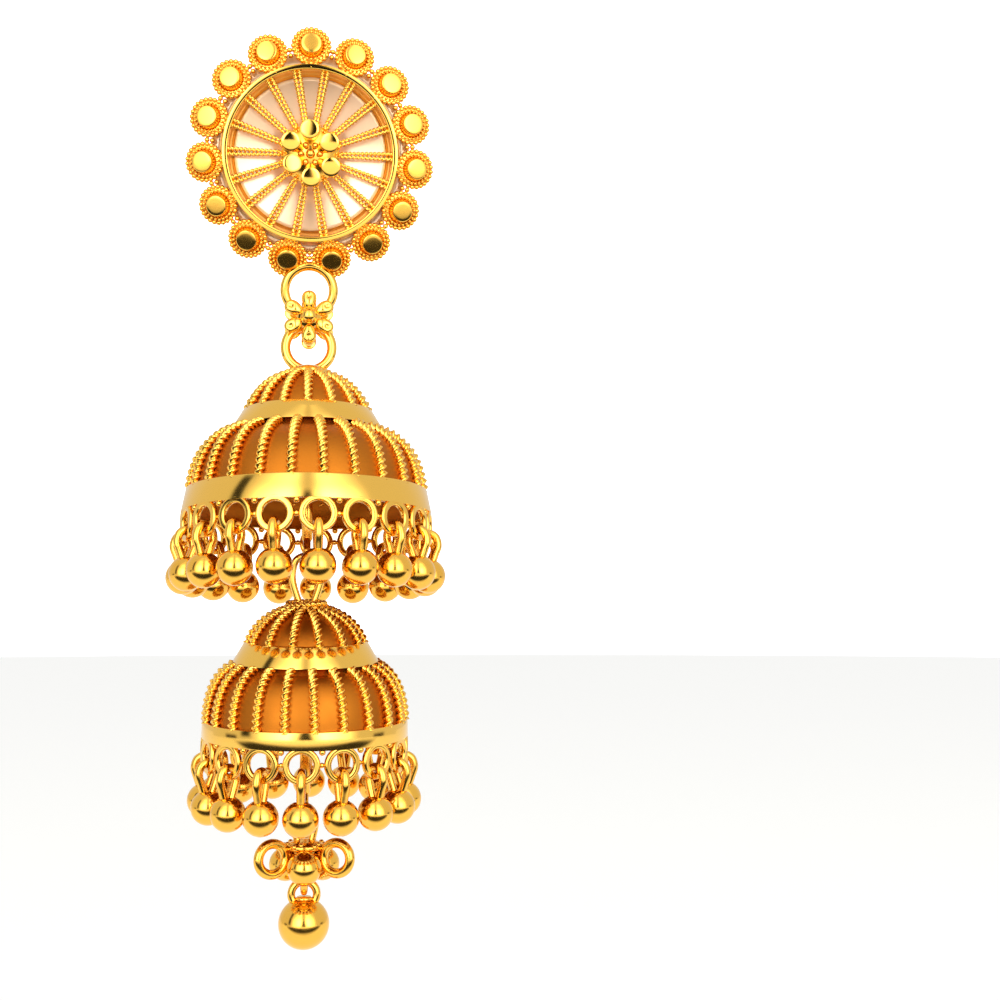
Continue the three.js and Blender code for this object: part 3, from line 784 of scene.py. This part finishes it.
linkSettings = {
    "halfDepth": 0.72,
    "side": 0.5,
    "arc": 0.88,
    "width": 0.86,
    "bandPower": 3,  # how boxy the band's section is
    "petals": 6,
    "petalCircle": 1.3,
    "petalLength": 0.78,
    "petalWidth": 0.56,
    "petalHeight": 0.42,
    "petalBack": 0.3,  # share of the height behind
    "petalTaper": 0.22,
    "dentDepth": 0.3,
    "dentPlace": 0.3,
    "dentSpread": 0.025,
    "ball": 0.62,
}
linkMiddle = (heights["linkTop"] + heights["linkBottom"]) / 2
linkDepth = linkSettings["halfDepth"] + linkSettings["side"] / 2


def linkBand(settings):
    # The mean ellipse of the band, swept with a rounded section that thickens at top and bottom
    # with the square of the sine.
    tall = (heights["linkTop"] - heights["linkBottom"]) / 2 - settings["arc"] / 2
    steps, sides = 72, 16
    angles = np.arange(steps) * fullTurn / steps
    y, z = linkDepth * np.cos(angles), linkMiddle + tall * np.sin(angles)
    path = np.stack([np.zeros(steps), y, z], 1)
    thinnest, thickest = settings["side"], settings["arc"]
    thick = 0.5 * (thinnest + (thickest - thinnest) * np.sin(angles) ** 2)[:, None]
    section = (np.arange(sides) * fullTurn / sides)[None]
    reach = boxyReach(section, 0.5 * settings["width"], thick, settings["bandPower"])
    return swept(path, reach, (1, 0, 0), closed=True)


def petal(settings):
    # An egg with a flattened back and a small dent: its face drops by a bell curve round one point.
    steps, sides = 17, 28
    u = np.arange(sides) * fullTurn / sides
    v = np.linspace(0, math.pi, steps)[:, None]
    x = settings["petalLength"] * np.cos(v) + 0 * u
    y = settings["petalWidth"] * np.sin(v) * np.sin(u) * (1 + settings["petalTaper"] * np.cos(v))
    z = settings["petalHeight"] * np.sin(v) * np.cos(u)
    distance = (x - settings["dentPlace"]) ** 2 + y**2
    dent = settings["dentDepth"] * np.exp(-distance / settings["dentSpread"])
    z = np.where(z > 0, z - dent * np.sin(v) * np.abs(np.cos(u)), settings["petalBack"] * z)
    points = np.stack([x, y, z], 2).reshape(-1, 3)
    return outward((points, gridFaces(steps, sides)))


def linkFlower(settings):
    # Petals at equal angles round a ball, over a small round rim.
    leaf = moved(petal(settings), shift(settings["petalCircle"]))
    centre = moved(ball(settings["ball"]), shift(0, 0, 0.3))
    rim = lathe([(0, -0.3), (0.6, -0.3), (0.95, -0.05), (0.85, 0.2), (0, 0.3)], 36)
    return joined([around(leaf, settings["petals"], 180 / settings["petals"]), centre, rim])


def flowerLink(settings):
    # The band, with a flower at half its depth in front and another behind.
    flower = linkFlower(settings)
    front = moved(flower, shift(0, -linkDepth, linkMiddle) @ turn("x", 90))
    back = moved(flower, shift(0, linkDepth, linkMiddle) @ turn("z", 180) @ turn("x", 90))
    return joined([linkBand(settings), front, back])


linkGold = flowerLink(linkSettings)
piece("flower_link_gold", linkGold, gold["polished"], "link", upperPlace, ["flower_link"])

print("stage: bells")

bellSettings = {
    "upper": {
        "cap": heights["upperCap"],
        "capRadius": 1.6,
        "crown": 3.1,
        "shoulder": (4.9, 5.8),  # radii at the band's top and foot
        "shoulderHeight": 1.5,
        "belly": 4.6,
        "rim": (9.04, 9.4),
        "rimHeight": 1.8,
        "crownBulge": (0.74, 0.22),
        "bellyBulge": (0.87, 0.17),
        "crownRibs": (16, 0, 0.74, 1.0),  # count, start in degrees, width, pitch
        "bellyRibs": (24, 7.5, 0.82, 0.98),
        "rings": (19, -9.5, 1.12),  # count, start in degrees, radius
        "eye": heights["upperEye"],
        "bail": 2.16,
    },
    "lower": {
        "cap": heights["lowerCap"],
        "capRadius": 1.45,
        "crown": 2.7,
        "shoulder": (4.6, 5.5),
        "shoulderHeight": 1.54,
        "belly": 4.22,
        "rim": (7.68, 7.72),
        "rimHeight": 1.3,
        "crownBulge": (0.75, 0.2),
        "bellyBulge": (0.92, 0.2),
        "crownRibs": (14, 0, 0.7, 0.9),
        "bellyRibs": (22, -3.3, 0.78, 0.96),
        "rings": (16, -2, 1.1),
        "eye": heights["lowerEye"],
        "bail": 2.28,
    },
}
wallSettings = {
    "ribSink": 0.3,  # share of a rib's width behind the profile
    "skinDepth": 0.46,  # mm from the profile to the skin
    "skin": 0.14,
    "band": 0.42,
    "bandSoftness": 0.07,
}
rimSettings = {
    "wire": 0.25,
    "cadWire": 0.22,
    "sink": 0.25,
    "bandWall": 0.5,
    "sectionPower": 2.6,
    "groove": (0.2, 0.4),  # depth as a share of the wire, and spread in radians
    "stem": 0.4,
    "eyeRadius": 0.95,
    "eyeWire": 0.28,
}
dropSettings = {
    "top": 0.64,
    "half": 0.73,
    "wire": 0.31,
    "ball": 1.3,
    "hole": 0.6,
    "ballGap": 0.26,
    "sway": 1.2,  # degrees at most
}
upperRingSettings = {"radius": 1.77, "wire": 0.38}


def bellLevels(bell):
    # The foot of the crown, the shoulder band, the belly and the rim band, each below the last.
    shoulder = bell["cap"] - bell["crown"]
    belly = shoulder - bell["shoulderHeight"]
    rim = belly - bell["belly"]
    return shoulder, belly, rim, rim - bell["rimHeight"]


def bulgingPath(start, end, bulge, count):
    # A quadratic curve whose middle control point sits at the bulge's shares of the stretch.
    start, end = np.array(start), np.array(end)
    control = start + np.array(bulge) * (end - start)
    t = np.linspace(0, 1, count)[:, None]
    return (1 - t) ** 2 * start + 2 * t * (1 - t) * control + t**2 * end


def behind(profile, depth):
    # The profile moved inwards, square to its own run.
    run = np.gradient(profile, axis=0)
    run /= np.linalg.norm(run, axis=1, keepdims=True)
    return profile + depth * np.stack([run[:, 1], -run[:, 0]], 1)


def bellRibs(bell):
    # Twisted wires up the crown's and the belly's profiles, copied round the bell.
    shoulder, belly, rim, _ = bellLevels(bell)
    crownTop = (bell["capRadius"] - 0.1, bell["cap"])
    crownFoot = (bell["shoulder"][0], shoulder - 0.1)
    bellyTop = (bell["shoulder"][1] - 0.1, belly + 0.1)
    bellyFoot = (bell["rim"][0], rim - 0.12)
    crown = bulgingPath(crownTop, crownFoot, bell["crownBulge"], 80)
    flank = bulgingPath(bellyTop, bellyFoot, bell["bellyBulge"], 110)
    parts = []
    for profile, ribs in ((crown, bell["crownRibs"]), (flank, bell["bellyRibs"])):
        count, start, width, pitch = ribs
        line = behind(profile, wallSettings["ribSink"] * width)
        path = np.stack([line[:, 0], np.zeros(len(line)), line[:, 1]], 1)
        parts.append(around(rope(path, width, (0, 1, 0), pitch), count, start))
    return joined(parts)


def bellSkin(bell):
    # The closed wall behind the ribs: the rib profiles moved inwards, with a thin wall.
    shoulder, belly, rim, bottom = bellLevels(bell)
    crownTop, crownFoot = (bell["capRadius"], bell["cap"]), (bell["shoulder"][0], shoulder)
    bellyTop, bellyFoot = (bell["shoulder"][1], belly), (bell["rim"][0], rim)
    crown = bulgingPath(crownTop, crownFoot, bell["crownBulge"], 20)
    flank = bulgingPath(bellyTop, bellyFoot, bell["bellyBulge"], 24)
    top, foot = [(0, bell["cap"] - 0.2)], [(bell["rim"][1] - 0.4, bottom + 0.05)]
    depth = wallSettings["skinDepth"]
    face = np.concatenate([top, behind(crown, depth), behind(flank, depth), foot])
    inner = behind(face[1:], wallSettings["skin"])[::-1]
    return lathe(np.concatenate([face, inner, [(0, bell["cap"] - 0.4)]]), 128)


def bellBands(bell):
    # Each band's outline: a crisp outer face between softened edges, turned about the axis.
    shoulder, belly, rim, bottom = bellLevels(bell)
    wall = wallSettings["band"]
    bands = []
    for (top, low), high, foot in ((bell["shoulder"], shoulder, belly), (bell["rim"], rim, bottom)):
        outline = [(top, high), (low, foot), (low - wall, foot), (top - wall, high)]
        bands.append(lathe(softened(outline, wallSettings["bandSoftness"], 3), 160))
    return joined(bands)


def bellCap(bell, dome):
    # A low dome over a rounded edge, turned about the axis.
    radius, z = bell["capRadius"], bell["cap"]
    profile = [(0, z + dome), (0.35 * radius, z + 0.93 * dome), (0.7 * radius, z + 0.62 * dome)]
    profile += [(radius, z + 0.12), (radius + 0.14, z - 0.08)]
    profile += [(radius + 0.05, z - 0.3), (0, z - 0.34)]
    return lathe(profile, 64)


def rimRingPlace(bell):
    # The middle of the rim rings: their radius from the axis, and their height.
    bottom = bellLevels(bell)[3]
    height = bottom - bell["rings"][2] - rimSettings["cadWire"] + rimSettings["sink"]
    return bell["rim"][1] - rimSettings["bandWall"] / 2, height


def rimRings(bell):
    # Rings that face outwards, of a boxy wire with a groove along its outer side that follows a
    # bell curve, and two rows of small beads between the rings.
    count, start, radius = bell["rings"]
    middle, z = rimRingPlace(bell)
    steps, sides = 56, 20
    ring = circle(radius, steps, "yz")
    angles = np.arange(sides) * fullTurn / sides
    section = boxyReach(angles, 1, 1, rimSettings["sectionPower"])
    depth, spread = rimSettings["groove"]
    fromFront = np.minimum(angles, fullTurn - angles)
    section *= 1 - depth * np.exp(-((fromFront / spread) ** 2))
    grooved = np.repeat(rimSettings["wire"] * section[None], steps, 0)
    one = moved(swept(ring, grooved, (1, 0, 0), closed=True), shift(middle, 0, z))
    between = math.radians(start) + (np.arange(count) + 0.5) * fullTurn / count
    gap = middle * math.sin(math.pi / count) - radius
    place = np.stack([np.cos(between), np.sin(between)], 1)
    joins = np.concatenate([place * middle * math.cos(math.pi / count), np.full((count, 1), z)], 1)
    upper = np.concatenate([place * middle, np.full((count, 1), z + 0.86 * radius)], 1)
    webs = joined([beads(joins, gap - 0.16, 14), beads(upper, 0.24, 14)])
    return joined([around(one, count, start), webs])


def eyeRing(height):
    # The small ring at a stem's foot, facing sideways.
    ring = ringWire(rimSettings["eyeRadius"], rimSettings["eyeWire"], "yz", 12, 40)
    return moved(ring, shift(0, 0, height))


def innerStem(bell):
    # A rod from the cap down to the top of its eye.
    top, stem = bell["cap"] - 0.2, rimSettings["stem"]
    foot = bell["eye"] + rimSettings["eyeRadius"]
    profile = [(0, top), (stem, top), (stem, foot + 0.1), (0.7 * stem, foot - 0.1), (0, foot - 0.1)]
    return joined([lathe(profile, 24), eyeRing(bell["eye"])])


def bellDrop(bell, settings):
    # A bent bail whose feet stand in a dimple of the ball, about the lowest wire of its ring.
    # The ball's profile is the dimple, and then sine and cosine of the polar angle.
    top, half = settings["top"], settings["half"]
    ballTop = top + settings["ballGap"] - bell["bail"]
    left = [(-0.3, ballTop - 0.3), (-0.52, ballTop + 0.35)]
    left += [(-half, -0.3), (-0.6, 0.3), (-0.3, 0.57)]
    points = left + [(0, top)] + [(-x, z) for x, z in left[::-1]]
    path = smooth([(x, 0, z) for x, z in points], 48)
    bail = wire(path, settings["wire"], (0, 1, 0), 12)
    radius, hole = settings["ball"], settings["hole"]
    rimAngle = math.asin(hole / radius)
    polar = np.linspace(rimAngle, math.pi, 20)
    shell = np.stack([radius * np.sin(polar), radius * np.cos(polar)], 1)
    shell[-1, 0] = 0
    lip = radius * math.cos(rimAngle)
    dimple = [(0, lip - 0.34), (0.3, lip - 0.33), (0.5, lip - 0.2), (hole - 0.03, lip - 0.03)]
    profile = np.concatenate([dimple, shell])
    sphere = moved(lathe(profile, 36), shift(0, 0, ballTop - radius))
    return joined([bail, sphere])


def hangDrops(bell, prefix, body, place):
    # One drop on each rim ring, swayed by a small random angle.
    count, start, radius = bell["rings"]
    one = bellDrop(bell, dropSettings)
    middle, ringHeight = rimRingPlace(bell)
    sway = randomness.uniform(-dropSettings["sway"], dropSettings["sway"], count)
    hung = shift(middle, 0, ringHeight - radius)
    for k in range(count):
        spot = turn("z", start + k * 360 / count) @ hung @ turn("x", sway[k])
        name = f"{prefix}_drop_{k + 1:02d}"
        piece(f"{name}_gold", one, gold["satin"], body, place @ spot, [name])


upperBell, lowerBell = bellSettings["upper"], bellSettings["lower"]
upperRing = ringWire(upperRingSettings["radius"], upperRingSettings["wire"], "xz")
upperRing = moved(upperRing, shift(0, 0, heights["bellRing"]))
piece("upper_bell_ribs", bellRibs(upperBell), gold["twisted"], "upper", upperPlace, ["upper_bell"])
# The skin's dark orange-brown colour is painted shade of the hollow behind the ribs.
piece("upper_bell_skin", bellSkin(upperBell), gold["skin"], "upper", upperPlace)
piece("upper_bell_bands", bellBands(upperBell), gold["band"], "upper", upperPlace, (), 30)
upperTop = joined([bellCap(upperBell, 0.55), upperRing])
piece("upper_bell_top", upperTop, gold["polished"], "upper", upperPlace)
piece("upper_bell_rings", rimRings(upperBell), gold["polished"], "upper", upperPlace)
piece("upper_bell_stem", innerStem(upperBell), gold["satin"], "upper", upperPlace)
hangDrops(upperBell, "upper", "upper", upperPlace)

lowerHook = {"half": 1.025, "wire": 0.28, "foot": 0.45, "arch": 2.05}
collarSettings = {"radius": 1.35, "rise": 0.12, "turns": 10}


def tallHook(settings, foot, pin):
    # A tall bent wire: two nearly upright sides under a half round.
    half = settings["half"]
    shoulder = pin - half
    side = [
        (settings["foot"], foot),
        (half, pin - settings["arch"]),
        (half, shoulder),
        (0.72 * half, shoulder + 0.72 * half),
    ]
    points = [(-x, z) for x, z in side] + [(0, pin)] + side[::-1]
    path = smooth([(x, 0, z) for x, z in points], 60)
    return wire(path, settings["wire"], (0, 1, 0), 14)


def beadedCollar(settings, capHeight):
    # Two twisted wires on circles, the smaller one a little higher and wound the other way.
    outer = settings["radius"]
    inner = outer * 0.72
    z = capHeight + settings["rise"]
    outerPath, innerPath = circle(outer, 240, height=z), circle(inner, 240, height=z + 0.14)
    outerPitch, innerPitch = [fullTurn * radius / settings["turns"] for radius in (outer, inner)]
    wide = rope(outerPath, 0.5, (0, 0, 1), outerPitch, closed=True)
    narrow = rope(innerPath, 0.34, (0, 0, 1), innerPitch, -1, closed=True)
    return joined([wide, narrow])


hook = tallHook(lowerHook, heights["lowerCap"] - 0.2, heights["lowerPin"])
piece("lower_bell_ribs", bellRibs(lowerBell), gold["twisted"], "lower", lowerPlace, ["lower_bell"])
# The skin's dark orange-brown colour is painted shade of the hollow behind the ribs.
piece("lower_bell_skin", bellSkin(lowerBell), gold["skin"], "lower", lowerPlace)
piece("lower_bell_bands", bellBands(lowerBell), gold["band"], "lower", lowerPlace, (), 30)
lowerTop = joined([bellCap(lowerBell, 0.2), hook])
piece("lower_bell_top", lowerTop, gold["polished"], "lower", lowerPlace)
collar = beadedCollar(collarSettings, heights["lowerCap"])
piece("lower_bell_collar", collar, gold["twisted"], "lower", lowerPlace)
piece("lower_bell_rings", rimRings(lowerBell), gold["polished"], "lower", lowerPlace)
piece("lower_bell_stem", innerStem(lowerBell), gold["satin"], "lower", lowerPlace)
hangDrops(lowerBell, "lower", "lower", lowerPlace)

print("stage: cluster and end ball")

clusterSettings = {
    "hubRadius": 1.55,
    "loopRadius": 1.13,
    "loopWire": 0.37,
    "loopCircle": 2.75,
    "loopDrop": 0.95,
    "ballRadius": 1.27,
    "ballCircle": 1.6,
    "ballDrop": 1.65,
    "hook": {"half": 0.75, "wire": 0.28, "foot": 0.45, "arch": 1.4},
    "solder": ((1.5, 0, -0.12), (1.35, 0.35, -0.02)),  # radius, angle in radians, height
    "grains": (14, 0.3, 0.2),  # count, spread, radius
    "grainPlace": (1.5, -0.9, -2.05),  # from the hub
}
endSettings = {
    "ball": 1.915,
    "ring": 0.95,
    "wire": 0.3,
}


def cluster(settings):
    # Loops and balls by turns round a domed hub, over a tapering core with an eye. The beads of
    # solder stand at their radius times cosine and sine, and the grains round one point.
    hub, eye = heights["clusterHub"], heights["clusterEye"]
    r = settings["hubRadius"]
    above = [(0, hub + 0.35), (0.5, hub + 0.3), (1.0, hub + 0.14), (r, hub - 0.05)]
    dome = lathe(above + [(r + 0.05, hub - 0.3), (r - 0.1, hub - 0.5), (0, hub - 0.5)], 48)
    neck = [(0, hub - 0.2), (0.85, hub - 0.25), (0.75, hub - 1.2)]
    core = lathe(neck + [(0.42, eye + 1.1), (0.35, eye + 0.85), (0, eye + 0.85)], 36)
    loop = ringWire(settings["loopRadius"], settings["loopWire"], "xz")
    loop = moved(loop, shift(settings["loopCircle"], 0, hub - settings["loopDrop"]))
    small = ball(settings["ballRadius"], 40)
    small = moved(small, shift(settings["ballCircle"], 0, hub - settings["ballDrop"]))
    solder = []
    for k in range(6):
        for radius, offset, height in settings["solder"]:
            angle = math.radians(60 * k) + offset
            solder.append((radius * math.cos(angle), radius * math.sin(angle), hub + height))
    count, spread, grain = settings["grains"]
    place = np.array(settings["grainPlace"]) + (0, 0, hub)
    grains = randomness.uniform(-spread, spread, (count, 3)) + place
    return joined(
        [
            dome,
            core,
            around(loop, 3, 90),
            around(small, 3, -90),
            tallHook(settings["hook"], hub - 0.2, heights["clusterPin"]),
            eyeRing(eye),
            beads(solder, 0.21, 12),
            beads(grains, grain, 12),
        ]
    )


def endDrop(settings):
    # A ring, a small turned collar and the large ball below it.
    ring = ringWire(settings["ring"], settings["wire"], "xz", 14, 48)
    ring = moved(ring, shift(0, 0, heights["endPin"] - settings["ring"]))
    neck = heights["endBall"] + settings["ball"]
    profile = [(0, 0.12), (0.5, 0.1), (0.66, -0.04), (0.5, -0.3), (0, -0.3)]
    collar = moved(lathe(profile, 36), shift(0, 0, neck))
    sphere = moved(ball(settings["ball"], 56), shift(0, 0, heights["endBall"]))
    return joined([ring, collar, sphere])


piece("cluster_gold", cluster(clusterSettings), gold["satin"], "end_drop", endPlace, ["cluster"])
piece("end_ball_gold", endDrop(endSettings), gold["satin"], "end_drop", endPlace, ["end_ball"])
